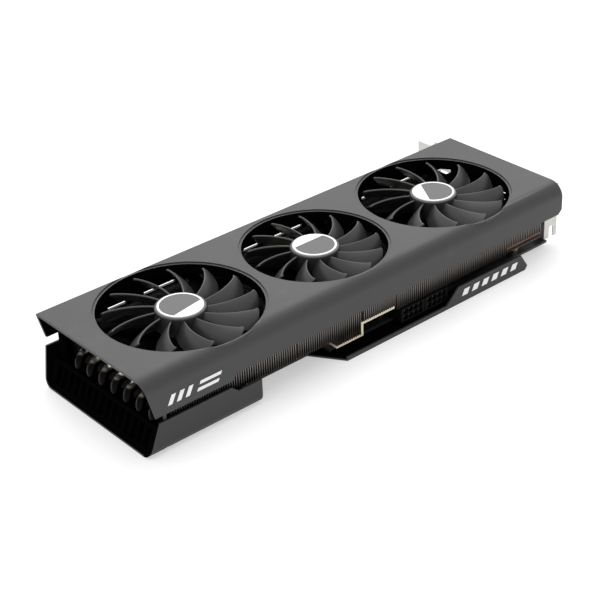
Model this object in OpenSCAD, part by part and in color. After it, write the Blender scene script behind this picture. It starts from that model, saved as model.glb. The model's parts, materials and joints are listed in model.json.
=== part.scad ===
// Triple-fan graphics card lying on its backplate, fans up.
// The card is drawn with its tail edge at x = 0, its io bracket at x = card_l, its width along y
// (power sockets on the -y edge, board contacts on the +y edge) and its backplate on z = 0.
// at_origin() then moves every piece so that the whole card is centred over the origin.

/* [Shroud] */
// Length of the shroud, tail edge to io bracket
card_l = 340; // [325:1:410]
// Width of the shroud
card_w = 104; // [104:1:130]
// Height of the shroud's top face above the backplate's underside
card_h = 50; // [49:1:62]
// Wall thickness of the shroud
shroud_t = 1.8; // [1.2:0.1:2.4]
// Outer radius of the rolled long edge on the power-socket side
bend_r = 10; // [6:0.5:12]
// Outer radius of the long edge on the board-contact side
far_edge_r = 1.8; // [1.8:0.1:4]
// Lower edge of the side wall at the tail, above the rest plane
side_low_z = 24.8; // [23:0.1:26]
// Lower edge of the side wall over the rest of its length
side_high_z = 28.6; // [27:0.1:31]
// Where the side wall steps up, from the tail edge
side_step_x = 60; // [45:1:75]
// Length of the slant between the two side wall heights
side_step_l = 3.5; // [2:0.5:6]
// Lower edge of the wall on the board-contact side at the tail
far_wall_z = 32.4; // [30:0.1:33.5]
// Lower edge of that wall over the rest of its length
far_skirt_z = 29.6; // [28:0.1:30]
// How far the tail ends of the walls lean in, per mm of height
mouth_lean = 0.26; // [0:0.01:0.4]
// Chamfer at the lower bracket end of the side wall
corner_chamfer = 3; // [1:0.5:6]
// Lower edge of the shroud's end wall beside the contacts
end_wall_z = 33.5; // [32.5:0.1:38]
// Lower edge of the rest of the end wall
end_wall_low_z = 19; // [18.2:0.1:19.8]

/* [Fans] */
// Distance from the tail edge to the first fan's axis
first_fan_x = 65.5; // [58:0.5:72]
// Distance from one fan axis to the next
fan_pitch = 103.6; // [101:0.1:125]
// Offset of the fan axes from the shroud's centre line, towards the board contacts
fan_y = 0.8; // [0:0.1:0.8]
// Radius of the outer fan openings
outer_opening_r = 49.4; // [46:0.1:49.4]
// Radius of the middle fan opening
middle_opening_r = 45.4; // [42:0.1:48]
// Width of the shallow recess round each opening
recess_w = 1.6; // [0.8:0.1:1.6]
// Depth of the recess
recess_d = 0.8; // [0.4:0.1:1]
// Wall thickness of the collar under each opening
collar_t = 1; // [0.8:0.1:1.2]
// Depth of the collar under the shroud's top
collar_d = 6; // [3:0.5:9]
// Gap between blade tips and opening
tip_gap = 3; // [1.5:0.1:5]
// Number of blades on each fan
blade_n = 13; // [7:1:13]
// Blade thickness, measured straight up
blade_t = 1.4; // [1:0.1:2]
// Forward sweep of the leading edge from hub to tip, in degrees
blade_sweep = 15; // [0:1:24]
// Blade chord at the hub, in degrees round the axis
root_chord = 19; // [14:1:26]
// Blade chord at the tip, in degrees round the axis
tip_chord = 10.5; // [8:0.5:20]
// Drop from the leading to the trailing edge at the hub
root_drop = 9.6; // [6:0.2:9.6]
// Drop from the leading to the trailing edge at the tip
tip_drop = 8.4; // [5:0.2:9.4]
// Radius of the hub
hub_r = 15.5; // [14:0.1:18]
// Wall thickness of the hub cup
hub_wall = 1.6; // [1.2:0.1:2]
// Thickness of the hub's top
hub_top_t = 2; // [1.5:0.1:3]
// Radius of the round badge on the hub
badge_r = 13.8; // [10:0.1:13.8]
// Height of the badge above the hub's top
badge_t = 0.6; // [0.3:0.1:1]
// Radial thickness of the ring magnet
magnet_t = 1.7; // [1:0.1:2]
// Radius of the fan shaft
shaft_r = 1.5; // [1.2:0.1:2]
// Radial clearance between shaft and bearing
shaft_gap = 0.04; // [0.01:0.01:0.1]
// Outer radius of the bearing sleeve
bearing_r = 3.5; // [3:0.1:4]
// Wall thickness of the bearing holder
holder_t = 1.4; // [1:0.1:1.6]
// Thickness of the fan frame and its arms
frame_t = 1.6; // [1.4:0.1:2]
// Width of the fan frame's arms
arm_w = 6; // [4:0.5:8]
// Number of arms on each fan frame
arm_n = 4; // [4:1:4]
// Radius of the fan frame's round base
frame_r = 15; // [12:0.5:16]
// Distance of the fan screws outside the opening
post_out = 7; // [6:0.5:7]
// Radius of the shroud's screw posts
post_r = 3; // [2.5:0.1:3.5]
// Number of poles on each stator
pole_n = 4; // [4:1:4]

/* [Cooler] */
// Height of the top edge of the fins
fin_top_z = 32.3; // [30:0.1:32.6]
// Height of the bottom edge of the fins
fin_low_z = 15; // [14.6:0.1:15.4]
// Width of the fin stacks
fin_w = 98; // [94:0.5:99]
// Thickness of one fin
fin_t = 0.4; // [0.3:0.05:0.6]
// Distance from one fin to the next
fin_pitch = 1.7; // [1.5:0.1:3]
// Start of the tail fin stack, from the tail edge
tail_fins_x = 19; // [19:0.5:24]
// Gap between the two fin stacks
fin_gap = 1; // [1:0.5:6]
// Gap between the main fin stack and the io bracket
fin_end_gap = 17; // [15:0.5:24]
// Radius of a heat pipe
pipe_r = 3; // [2.5:0.1:3]
// Number of heat pipes
pipe_n = 7; // [5:1:7]
// Distance from one heat pipe to the next
pipe_pitch = 12; // [11:0.5:12]
// Place of the heat pipe nearest the power-socket edge, from the centre line
first_pipe_y = -42; // [-43:0.5:-41]
// Height of the lower heat pipe runs
pipe_low_z = 14; // [14:0.1:14.2]
// Radius of the bend at the tail
pipe_bend_r = 6; // [5.5:0.1:6]
// Length of the upper heat pipe runs
pipe_return_l = 90; // [40:1:110]
// Radial clearance between heat pipe and fin
pipe_gap = 0.05; // [0.02:0.01:0.1]

/* [Board] */
// Height of the board's underside
board_z = 2.6; // [2.4:0.1:2.8]
// Thickness of the board
board_t = 1.6; // [1.4:0.1:1.6]
// Start of the board, from the tail edge
board_x = 142; // [142:1:146]
// Place of the board's power-socket edge, from the centre line
board_low_y = -41; // [-42:0.5:-40.5]
// Place of the board's long edge beside the contacts, from the centre line
board_high_y = 62; // [61:0.5:64]
// Length of the contact tongue
tongue_l = 8.2; // [8:0.1:8.6]
// Height of the mid plate's underside
mid_plate_z = 8.2; // [8.2:0.1:8.6]
// Thickness of the mid plate
mid_plate_t = 1.8; // [1.6:0.1:1.8]
// Underside of the mid plate's raised lip
lip_z = 16.2; // [16:0.1:16.3]
// Depth of the mid plate's raised lip
lip_d = 2.7; // [2:0.1:2.7]
// Place of the mid plate's front edge, from the centre line
lip_y = -48; // [-49:0.5:-47]
// Start of the raised part of the lip, from the tail edge
lip_step_x = 162; // [158:1:168]
// End of the raised part of the lip, from the tail edge
lip_end_x = 190; // [180:1:191]
// Place of the processor, from the tail edge
gpu_x = 250; // [250:1:252]
// Place of the processor, from the centre line
gpu_y = 8; // [8:0.5:9]
// Width of one power socket
socket_w = 20.2; // [19.6:0.1:20.2]
// Start of the first power socket, from the tail edge
socket_x = 194.5; // [194:0.5:196]
// Number of power sockets
socket_n = 2; // [1:1:2]

/* [Backplate] */
// Thickness of the backplate sheet
plate_t = 1.2; // [1:0.1:1.3]
// Length of the tail tray
tray_l = 81; // [72:1:90]
// Height of the tray wall on the power-socket side
tray_low_h = 20.6; // [18:0.1:22]
// Height of the tray wall past its step
tray_step_h = 16.5; // [12:0.1:18]
// Height of the tray wall on the board-contact side
tray_high_h = 26.5; // [24:0.1:28]
// Number of ribs in the tray's end grille
rib_n = 14; // [8:1:18]
// Width of one rib
rib_w = 1.4; // [1:0.1:2.5]
// Height of the tray's end grille
grille_h = 17; // [12:0.5:19]
// How far the tray wall's tail end leans in on the power-socket side, per mm of height
tray_lean = 0.4; // [0:0.01:0.45]
// The same on the board-contact side
far_tray_lean = 0.13; // [0:0.01:0.4]
// Outer radius of the tray's bends
tray_bend_r = 6; // [4:0.5:8]
// Height of the folded strip
strip_h = 2.8; // [2:0.1:4]
// Height of the folded tab
tab_h = 12.3; // [8:0.1:14]
// Place of the folded strip's outer face, from the centre line
strip_y = -53; // [-54:0.5:-53]

/* [Bracket] */
// Thickness of the io bracket sheet
bracket_t = 1; // [0.8:0.1:1.2]
// Length of the io bracket, flange to tongue end
bracket_l = 120; // [119:0.1:121]
// Width of the io bracket
bracket_w = 39; // [38:0.1:39.2]
// Lower edge of the io bracket
bracket_z = 3; // [2.6:0.1:3.2]
// Place of the io bracket's flange, from the centre line
flange_y = -38; // [-39:0.5:-37.5]
// Depth of the io bracket's flange
flange_l = 11.4; // [11:0.1:12]
// Radius of the screw notches in the flange
notch_r = 2.2; // [2:0.05:2.4]
// Distance from one expansion slot to the next
slot_pitch = 20.32; // [20.32:0.01:20.32]

/* [Hidden] */
$fn = 64;
cut = 0.5;                                  // how far a cutting shape runs past a face
half_w = card_w/2;
inner_top = card_h - shroud_t;              // underside of the shroud's top
fan_xs = [for (i = [0:2]) first_fan_x + i*fan_pitch];
opening_rs = [outer_opening_r, middle_opening_r, outer_opening_r];
blade_phase = [21.7, 21, 9.2];                  // turn of each fan at rest, in degrees

// fan heights, from the frame up to the badge
screw_d = 3;
screw_hole_gap = 0.1;
head_r = 2.8;
head_t = 1.4;
frame_z = fin_top_z + head_t + 0.3;
hub_z = frame_z + frame_t + 0.8;
hub_top_z = card_h - badge_t;
cup_top_z = hub_top_z - hub_top_t;          // underside of the hub's top
magnet_gap = 0.8;
bearing_z = frame_z + frame_t + 0.4;
bearing_top_z = cup_top_z - 1;
stator_z = hub_z + 1.6;
stator_top_z = cup_top_z - 2;
stator_gap = 0.6;
stator_r = hub_r - hub_wall - magnet_t - stator_gap;
holder_r = bearing_r + holder_t;
post_angle = 45;

// tail posts that clamp the tray to the shroud
tail_post_x = 13.5;
tail_post_y = half_w - 3.8;
tail_post_r = 3;
shroud_tail_post_r = 2.5;
tail_head_r = 2.4;
tail_post_z = 19.8;
end_wall_y = 33;                            // where the end wall's lower edge steps up
far_step_x = 20;
far_slots = [[-18, -4.5], [8.5, 32]];       // air slots in the far wall, from each fan's axis
far_slot_z = [32.2, 34];
end_post_x = card_l - 10;
end_post_y = 36;
end_post_z = 30;

// board stack
board_top = board_z + board_t;
gpu_w = 45;
gpu_t = 1.2;
die_w = 24;
die_t = 0.8;
cold_w = 92;
cold_d = 88;
cold_z = board_top + gpu_t + die_t;
cold_top = pipe_low_z - pipe_r;
cold_gap = 0.5;
memory_w = 12;
memory_d = 14;
memory_t = 1.1;
choke_w = 7;
choke_pitch = 9;
choke_n = 9;
choke_xs = [178, 303];
pad_t = 0.4;
choke_t = mid_plate_z - board_top - pad_t;
stage_xs = [187, 309.4];
stage_w = 4.6;
stage_d = 6;
stage_t = 1;
cap_xs = [156, 166];
cap_r = 2.9;
cap_t = 3.4;
spring_span = 32;
lip_back_y = -38.5;                         // the mid plate's front edge past its step
board_screws = [[148, -33], [148, 53], [197, -29], [197, 56], [314, -34], [314, 55]];
boss_r = 3;
memory_places = concat(
    [for (s = [-1, 1], j = [-1:1]) [s*39, j*22, 0]],
    [for (s = [-1, 1], i = [-1, 1]) [i*11, s*36, 90]]);
socket_h = 9.6;
socket_d = 12;
socket_y = -49.5;
socket_front_d = 4.1;                       // depth of the part in front of the first heat pipe
socket_rear_h = 6.4;
cavity_top_d = 3.2;
socket_step = socket_w + 0.6;
cavity_pitch = 4.2;
cavity_w = 3.4;
cavity_d = 9;

// connector tongue: short and long contact groups on each side of the key
contact_pitch = 1;
contact_w = 0.7;
contact_t = 0.05;
contact_l = 5.2;
key_w = 1.9;
short_l = 11.65;
long_l = 71.65;
tongue_end_x = card_l - 44.5;
key_x = tongue_end_x - short_l - key_w;
tongue_x = key_x - long_l;

// display sockets along the bracket
port_ys = [-22, 0, 22, 44];
hdmi_index = 3;
port_w = 17;
port_h = 6;
port_l = 17;
port_wall = 0.6;
port_cavity = 12;
port_front_x = card_l + bracket_t;
window_gap = 0.3;

// backplate outline
slant_notch_x = 132;
slant_notch_end = 146;
notch_y = -32;
board_plate_y = 58;
end_plate_y = -35;
tab_x = 231;
tab_top_x = 241.5;
tab_top_end = 300;
tab_end_x = 306.5;
tray_step_x = 59;
tray_step_l = 5;
tail_head_z = 3.2;                          // underside of the tail screws' heads
counterbore_d = 0.6;
grille_z = 3;
grille_x = 1.5;
grille_top = 15;
vent_n = 9;
vent_pitch = 10;
vent_w = 3;
vent_l = 60;
vent_x = 24;

// generic raised bars on the side wall and on the tab
mark_t = 0.3;

// overall extent, which sets the origin
x_max = card_l + bracket_t + flange_l;
y_min = strip_y - mark_t;
y_max = flange_y + bracket_l;

module at_origin() {
    translate([-x_max/2, -(y_min + y_max)/2, 0]) children();
}

module at_fan(i) {
    at_origin() translate([fan_xs[i], fan_y, 0]) children();
}

// a child repeated at each screw post of fan i, measured from the fan's axis
module at_posts(i) {
    for (k = [0:arm_n - 1])
        rotate(post_angle + k*360/arm_n) translate([opening_rs[i] + post_out, 0, 0]) children();
}

module ring(outer, inner, z0, z1) {
    translate([0, 0, z0]) difference() {
        cylinder(r = outer, h = z1 - z0);
        translate([0, 0, -cut]) cylinder(r = inner, h = z1 - z0 + 2*cut);
    }
}

module block(x0, x1, y0, y1, z0, z1) {
    translate([x0, y0, z0]) cube([x1 - x0, y1 - y0, z1 - z0]);
}

// a flat outline drawn in x and z, raised to a plate between y0 and y1
module side_plate(y0, y1) {
    translate([0, y1, 0]) rotate([90, 0, 0]) linear_extrude(y1 - y0) children();
}

// ---- shroud ----

// outline across the card: flat top, a wide roll on the low y side, a small one on the high y side
module shroud_outline(inset) {
    left = -half_w + inset;
    right = half_w - inset;
    top = card_h - inset;
    roll = bend_r - inset;
    edge = max(far_edge_r - inset, 0.05);
    translate([left, 0]) square([roll + 0.01, top - roll]);
    translate([left + roll, top - roll]) circle(roll);
    translate([left + roll, 0]) square([right - edge - left - roll, top]);
    translate([right - edge, top - edge]) circle(edge);
    translate([right - edge - 0.01, 0]) square([edge + 0.01, top - edge]);
}

// everything below the walls' lower edges, as one cutting shape
module below_walls() {
    far_x = card_l + cut;
    side_plate(-half_w - cut, 0)
        polygon([[-cut, -cut], [far_x, -cut], [far_x, side_high_z + corner_chamfer + cut],
                 [card_l, side_high_z + corner_chamfer], [card_l - corner_chamfer, side_high_z],
                 [side_step_x + side_step_l, side_high_z], [side_step_x, side_low_z],
                 [-cut, side_low_z]]);
    side_plate(-cut, half_w + cut)
        polygon([[-cut, -cut], [far_x, -cut], [far_x, far_skirt_z], [far_step_x + 3, far_skirt_z],
                 [far_step_x, far_wall_z], [-cut, far_wall_z]]);
}

// the walls' slanted tail ends
module tail_slant() {
    side_plate(-half_w - cut, half_w + cut)
        polygon([[-10, -cut], [mouth_lean*(inner_top + cut), -cut], [0, inner_top], [-10, inner_top]]);
}

// end wall at the bracket, slotted in line with the bracket's vents and open round its ears
module end_wall() {
    difference() {
        union() {
            block(card_l - shroud_t, card_l, -half_w + bend_r, half_w - far_edge_r, end_wall_z, inner_top + 0.2);
            block(card_l - shroud_t, card_l, -end_wall_y - 5.5, end_wall_y, end_wall_low_z, end_wall_z + 1);
            block(card_l - shroud_t, card_l, -half_w + shroud_t/2, end_wall_y, side_high_z + 3, end_wall_z + 1);
        }
        translate([card_l - shroud_t - cut, 0, 0]) rotate([90, 0, 90]) linear_extrude(shroud_t + 2*cut)
            for (z = vents) if (z > end_wall_low_z) vent_row(z + 0.4, end_wall_y - 1, 1.8);
        for (s = [-1, 1]) block(card_l - shroud_t - cut, card_l + cut, s*end_post_y - 5.4, s*end_post_y + 5.4,
                                end_post_z - 1.6, end_post_z + 0.4);
    }
}

module shroud() {
    color("dimgray") at_origin() difference() {
        union() {
            difference() {
                rotate([90, 0, 90]) linear_extrude(card_l) difference() {
                    shroud_outline(0);
                    shroud_outline(shroud_t);
                }
                below_walls();
                tail_slant();
                for (x = fan_xs, e = far_slots)
                    block(x + e[0], x + e[1], half_w - shroud_t - cut, half_w + cut, far_slot_z[0], far_slot_z[1]);
            }
            end_wall();
            for (i = [0:2]) translate([fan_xs[i], fan_y, 0]) {
                ring(opening_rs[i] + collar_t, opening_rs[i], inner_top - collar_d, inner_top + 0.2);
                at_posts(i) translate([0, 0, frame_z + frame_t])
                    cylinder(r = post_r, h = inner_top + 0.2 - frame_z - frame_t);
            }
            for (s = [-1, 1]) {
                translate([tail_post_x, s*tail_post_y, tail_post_z])
                    cylinder(r = shroud_tail_post_r, h = (s < 0 ? card_h - bend_r : inner_top + 0.2) - tail_post_z);
                translate([end_post_x, s*end_post_y, end_post_z])
                    cylinder(r = post_r, h = inner_top + 0.2 - end_post_z);
            }
        }
        for (i = [0:2]) translate([fan_xs[i], fan_y, 0]) {
            translate([0, 0, inner_top - collar_d - cut]) cylinder(r = opening_rs[i], h = collar_d + 4);
            translate([0, 0, card_h - recess_d]) cylinder(r = opening_rs[i] + recess_w, h = recess_d + cut);
            at_posts(i) translate([0, 0, frame_z])
                cylinder(d = screw_d + 2*screw_hole_gap, h = frame_t + 7);
        }
        for (s = [-1, 1]) {
            translate([tail_post_x, s*tail_post_y, tail_post_z - cut])
                cylinder(d = screw_d + 2*screw_hole_gap, h = 8);
            translate([end_post_x, s*end_post_y, end_post_z - cut])
                cylinder(d = screw_d + 2*screw_hole_gap, h = 8);
        }
    }
}

// one slanted bar, drawn in x and z
module slant_bar(w, h) {
    polygon([[0, 0], [w, 0], [w + h*0.5, h], [h*0.5, h]]);
}

module side_bars() {
    color("gainsboro") at_origin() side_plate(-half_w - mark_t, -half_w) {
        for (i = [0:2]) translate([15 + i*6, 29.4]) slant_bar(3, 6);
        translate([35, 29.4]) slant_bar(15, 2);
        translate([37, 33.4]) slant_bar(15, 2);
    }
}

// ---- fans ----

blade_steps = 6;
chord_steps = 3;
blade_root_r = hub_r - hub_wall/2;

function lerp(a, b, t) = a + (b - a)*t;

// a point on one blade: t runs from hub to tip, u from leading to trailing edge
function blade_point(tip_r, t, u, lift) =
    let (r = lerp(blade_root_r, tip_r, t),
         a = blade_sweep*pow(t, 1.4) - u*lerp(root_chord, tip_chord, t),
         drop = lerp(root_drop, tip_drop, t)*(u - 0.35*u*(1 - u)),
         z = lerp(hub_top_z - 1.4, card_h - 0.6, t) - drop - lift)
    [r*cos(a), r*sin(a), z];

// closed loop round one section: along the top face, then back along the bottom face
function blade_section(tip_r, t) = concat(
    [for (j = [0:chord_steps]) blade_point(tip_r, t, j/chord_steps, 0)],
    [for (j = [chord_steps:-1:0]) blade_point(tip_r, t, j/chord_steps, blade_t)]);

module blade(tip_r) {
    m = 2*(chord_steps + 1);
    points = [for (s = [0:blade_steps]) each blade_section(tip_r, s/blade_steps)];
    sides = [for (s = [0:blade_steps - 1], j = [0:m - 1]) each
        let (a = s*m + j, b = s*m + (j + 1) % m) [[a, a + m, b], [b, a + m, b + m]]];
    inner = [for (j = [1:m - 2]) [0, j, j + 1]];
    last = blade_steps*m;
    outer = [for (j = [1:m - 2]) [last, last + j + 1, last + j]];
    polyhedron(points, concat(sides, inner, outer));
}

module fan_rotor(i) {
    color("dimgray") at_fan(i) difference() {
        union() {
            ring(hub_r, hub_r - hub_wall, hub_z, cup_top_z);
            translate([0, 0, cup_top_z]) cylinder(r = hub_r, h = hub_top_t);
            for (k = [0:blade_n - 1]) rotate(blade_phase[i] + k*360/blade_n) blade(opening_rs[i] - tip_gap);
        }
        translate([0, 0, cup_top_z - cut]) cylinder(r = shaft_r, h = hub_top_t - 0.8 + cut);
    }
}

module hub_badge(i) {
    color("gainsboro") at_fan(i) translate([0, 0, hub_top_z]) cylinder(r = badge_r, h = badge_t);
}

module rotor_magnet(i) {
    color("darkgray") at_fan(i)
        ring(hub_r - hub_wall, hub_r - hub_wall - magnet_t, hub_z + magnet_gap, cup_top_z - magnet_gap);
}

module fan_shaft(i) {
    color("silver") at_fan(i) translate([0, 0, bearing_z + 0.5])
        cylinder(r = shaft_r, h = hub_top_z - 0.8 - bearing_z - 0.5);
}

module fan_bearing(i) {
    color("goldenrod") at_fan(i) ring(bearing_r, shaft_r + shaft_gap, bearing_z, bearing_top_z);
}

module fan_stator(i) {
    color("slategray") at_fan(i) {
        ring(holder_r + 1.6, holder_r + 0.05, stator_z, stator_top_z);
        for (k = [0:pole_n - 1]) rotate(k*360/pole_n) {
            block(holder_r + 1.2, stator_r - 1.4, -1, 1, stator_z, stator_top_z);
            intersection() {
                ring(stator_r, stator_r - 1.6, stator_z, stator_top_z);
                block(0, stator_r + 1, -4.6, 4.6, stator_z, stator_top_z);
            }
        }
    }
}

module stator_coils() {
    color("peru") for (i = [0:2]) at_fan(i) for (k = [0:pole_n - 1]) rotate(k*360/pole_n)
        difference() {
            block(holder_r + 1.8, stator_r - 2.2, -2.4, 2.4, stator_z - 0.8, stator_top_z + 0.8);
            block(holder_r, stator_r, -1.05, 1.05, stator_z - 0.05, stator_top_z + 0.05);
        }
}

module fan_frame(i) {
    color("black") at_fan(i) difference() {
        union() {
            translate([0, 0, frame_z]) cylinder(r = frame_r, h = frame_t);
            translate([0, 0, frame_z]) cylinder(r = holder_r, h = bearing_top_z - frame_z);
            for (k = [0:arm_n - 1]) rotate(post_angle + k*360/arm_n)
                block(frame_r - 3, opening_rs[i] + post_out, -arm_w/2, arm_w/2, frame_z, frame_z + frame_t);
            at_posts(i) translate([0, 0, frame_z]) cylinder(r = post_r + 1, h = frame_t);
        }
        translate([0, 0, bearing_z]) cylinder(r = bearing_r, h = bearing_top_z - bearing_z + cut);
        at_posts(i) translate([0, 0, frame_z - cut])
            cylinder(d = screw_d + 2*screw_hole_gap, h = frame_t + 2*cut);
    }
}

// a screw pointing up from its head, with a cross recess under the head
module screw(head, thick, shank_r, shank_l) {
    difference() {
        cylinder(r = head, h = thick);
        for (a = [0, 90]) rotate(a) translate([-head*0.55, -head*0.12, -cut])
            cube([head*1.1, head*0.24, thick*0.5 + cut]);
    }
    translate([0, 0, thick]) cylinder(r = shank_r, h = shank_l);
}

module fan_screws() {
    color("silver") for (i = [0:2]) at_fan(i) at_posts(i) translate([0, 0, frame_z - head_t])
        screw(head_r, head_t, screw_d/2, frame_t + 6);
}

// ---- cooler ----

pipe_ys = [for (i = [0:pipe_n - 1]) first_pipe_y + i*pipe_pitch];
pipe_high_z = pipe_low_z + 2*pipe_bend_r;
fin_tab_w = 3;
fin_cut_l = 34;
fin_cut_z = 19.5;
fin_tab_y = fin_w/2 - 9;
function run_end(x0, x1) = x0 + floor((x1 - fin_t - x0)/fin_pitch)*fin_pitch + fin_t;
bend_x = tail_fins_x - 1;
pipe_end_x = card_l - fin_end_gap + 5;

// one fin, from its bottom edge up, pierced for the heat pipes, its front corner cut up to notch
module fin(bottom, returns, notch = 0, notch_y = lip_y + lip_d + 0.2) {
    rotate([90, 0, 90]) linear_extrude(fin_t) difference() {
        translate([-fin_w/2, bottom]) square([fin_w, fin_top_z - bottom]);
        if (notch > 0) translate([-fin_w/2 - cut, 0])
            square([fin_w/2 + cut + notch_y, notch]);
        for (y = pipe_ys) {
            translate([y, pipe_low_z]) circle(pipe_r + pipe_gap, $fn = 32);
            if (returns) translate([y, pipe_high_z]) circle(pipe_r + pipe_gap, $fn = 32);
        }
    }
}

module fin_run(x0, x1, bottom, returns, notch = 0, notch_y = lip_y + lip_d + 0.2) {
    for (x = [x0:fin_pitch:x1 - fin_t]) translate([x, 0, 0]) fin(bottom, returns, notch, notch_y);
}

// folded tabs that lock the fins' top edges together
module fin_tabs(x0, x1) {
    for (s = [-1, 1]) block(x0, x1, s*fin_tab_y - fin_tab_w/2, s*fin_tab_y + fin_tab_w/2,
                            fin_top_z - fin_t, fin_top_z);
}

module tail_fins() {
    last = board_x - fin_gap;
    split = bend_x + pipe_return_l + fin_pitch;
    color("lightslategray") at_origin() {
        fin_run(tail_fins_x, split, fin_low_z, true);
        fin_run(split + fin_pitch, last, fin_low_z, false);
        fin_tabs(tail_fins_x, run_end(split + fin_pitch, last));
    }
}

module main_fins() {
    last = card_l - fin_end_gap;
    // the first fin, counted on from the last step, whose lower front corner is cut away over the pipe
    cut_start = lip_end_x + fin_pitch*(1 + ceil((last - fin_cut_l - lip_end_x)/fin_pitch));
    color("lightslategray") at_origin() {
        fin_run(board_x, lip_step_x, mid_plate_z + mid_plate_t + 0.1, false);
        fin_run(lip_step_x + mid_plate_t, lip_end_x, fin_low_z, false, lip_z + mid_plate_t + 0.2);
        fin_run(lip_end_x + fin_pitch, cut_start, fin_low_z, false);
        fin_run(cut_start, last, fin_low_z, false, fin_cut_z, first_pipe_y - 1);
        fin_tabs(board_x, run_end(lip_end_x + fin_pitch, last));
    }
}

module heat_pipe() {
    translate([bend_x, 0, pipe_low_z]) rotate([0, 90, 0]) cylinder(r = pipe_r, h = pipe_end_x - bend_x);
    translate([bend_x, 0, pipe_low_z + pipe_bend_r]) rotate([90, 0, 0]) rotate(90)
        rotate_extrude(angle = 180) translate([pipe_bend_r, 0]) circle(pipe_r, $fn = 32);
    translate([bend_x, 0, pipe_high_z]) rotate([0, 90, 0]) cylinder(r = pipe_r, h = pipe_return_l);
}

module heat_pipes() {
    color("sienna") at_origin() for (y = pipe_ys) translate([0, y, 0]) heat_pipe();
}

module at_springs() {
    for (a = [-1, 1], b = [-1, 1]) translate([gpu_x + a*spring_span, gpu_y + b*spring_span, 0]) children();
}

module cold_plate() {
    color("peru") at_origin() difference() {
        block(gpu_x - cold_w/2, gpu_x + cold_w/2, gpu_y - cold_d/2, gpu_y + cold_d/2, cold_z, cold_top);
        at_springs() translate([0, 0, cold_z - cut]) cylinder(r = screw_d/2 + screw_hole_gap, h = 3.5);
    }
}

module mid_plate() {
    top = mid_plate_z + mid_plate_t;
    end = card_l - fin_end_gap - 4;
    color("antiquewhite") at_origin() difference() {
        union() {
            block(board_x, end, lip_y + lip_d, board_plate_y, mid_plate_z, top);
            side_plate(lip_y, lip_y + lip_d)
                polygon([[board_x, mid_plate_z], [lip_step_x + mid_plate_t, mid_plate_z],
                         [lip_step_x + mid_plate_t, lip_z], [lip_end_x, lip_z],
                         [lip_end_x, lip_z + mid_plate_t], [lip_step_x, lip_z + mid_plate_t],
                         [lip_step_x, top], [board_x, top]]);
            for (p = board_screws) translate([p[0], p[1], board_top]) cylinder(r = boss_r, h = top - board_top);
        }
        block(lip_end_x + 2, socket_x + socket_n*socket_step + 2, lip_y, socket_y + socket_d + 1, 0, 30);
        block(lip_step_x + mid_plate_t, end + cut, lip_y - cut, lip_back_y, 0, lip_z - cut);
        block(gpu_x - cold_w/2 - cold_gap, gpu_x + cold_w/2 + cold_gap,
              gpu_y - cold_d/2 - cold_gap, gpu_y + cold_d/2 + cold_gap, 0, 30);
        for (p = board_screws) translate([p[0], p[1], 0]) cylinder(r = screw_d/2 + screw_hole_gap, h = 9.4);
    }
}

// ---- board ----

module board_outline() {
    difference() {
        polygon([[board_x, board_low_y], [card_l - 0.5, board_low_y], [card_l - 0.5, board_high_y],
                 [tongue_end_x, board_high_y], [tongue_end_x, board_high_y + tongue_l],
                 [key_x + key_w, board_high_y + tongue_l], [key_x + key_w, board_high_y + 1],
                 [key_x, board_high_y + 1], [key_x, board_high_y + tongue_l],
                 [tongue_x, board_high_y + tongue_l], [tongue_x, board_high_y], [board_x, board_high_y]]);
        for (p = board_screws) translate([p[0], p[1]]) circle(screw_d/2 + screw_hole_gap);
        for (a = [-1, 1], b = [-1, 1])
            translate([gpu_x + a*spring_span, gpu_y + b*spring_span]) circle(screw_d/2 + screw_hole_gap);
    }
}

module board() {
    color("darkslategray") at_origin() translate([0, 0, board_z]) linear_extrude(board_t) board_outline();
}

module centred_block(x, y, w, d, z0, z1) {
    block(x - w/2, x + w/2, y - d/2, y + d/2, z0, z1);
}

module processor_package() {
    color("darkgreen") at_origin() centred_block(gpu_x, gpu_y, gpu_w, gpu_w, board_top, board_top + gpu_t);
}

module processor_die() {
    color("slategray") at_origin() centred_block(gpu_x, gpu_y, die_w, die_w, board_top + gpu_t, cold_z);
}

module at_memory() {
    for (p = memory_places) translate([gpu_x + p[0], gpu_y + p[1], 0]) rotate(p[2]) children();
}

module memory_chips() {
    color("black") at_origin() at_memory()
        centred_block(0, 0, memory_w, memory_d, board_top, board_top + memory_t);
}

module at_chokes() {
    for (x = choke_xs, j = [0:choke_n - 1]) translate([x, gpu_y + (j - (choke_n - 1)/2)*choke_pitch, 0]) children();
}

module chokes() {
    color("dimgray") at_origin() at_chokes()
        centred_block(0, 0, choke_w, choke_w, board_top, board_top + choke_t);
}

module power_stages() {
    color("black") at_origin() for (x = stage_xs, j = [0:choke_n - 1])
        centred_block(x, gpu_y + (j - (choke_n - 1)/2)*choke_pitch, stage_w, stage_d, board_top, board_top + stage_t);
}

module capacitors() {
    color("silver") at_origin() for (x = cap_xs, j = [0:choke_n - 1])
        translate([x, gpu_y + (j - (choke_n - 1)/2)*choke_pitch, board_top]) cylinder(r = cap_r, h = cap_t);
}

module thermal_pads() {
    color("lightsteelblue") at_origin() {
        at_memory() centred_block(0, 0, memory_w - 1, memory_d - 1, board_top + memory_t, cold_z);
        at_chokes() centred_block(0, 0, choke_w - 1, choke_w - 1, board_top + choke_t, mid_plate_z);
    }
}

module fan_headers() {
    color("ivory") at_origin() for (j = [0:2]) difference() {
        centred_block(146.5, -20 + j*16, 5, 9, board_top, board_top + 3.4);
        centred_block(146.5, -20 + j*16, 3.4, 7.4, board_top + 0.8, board_top + 4);
    }
}

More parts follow.
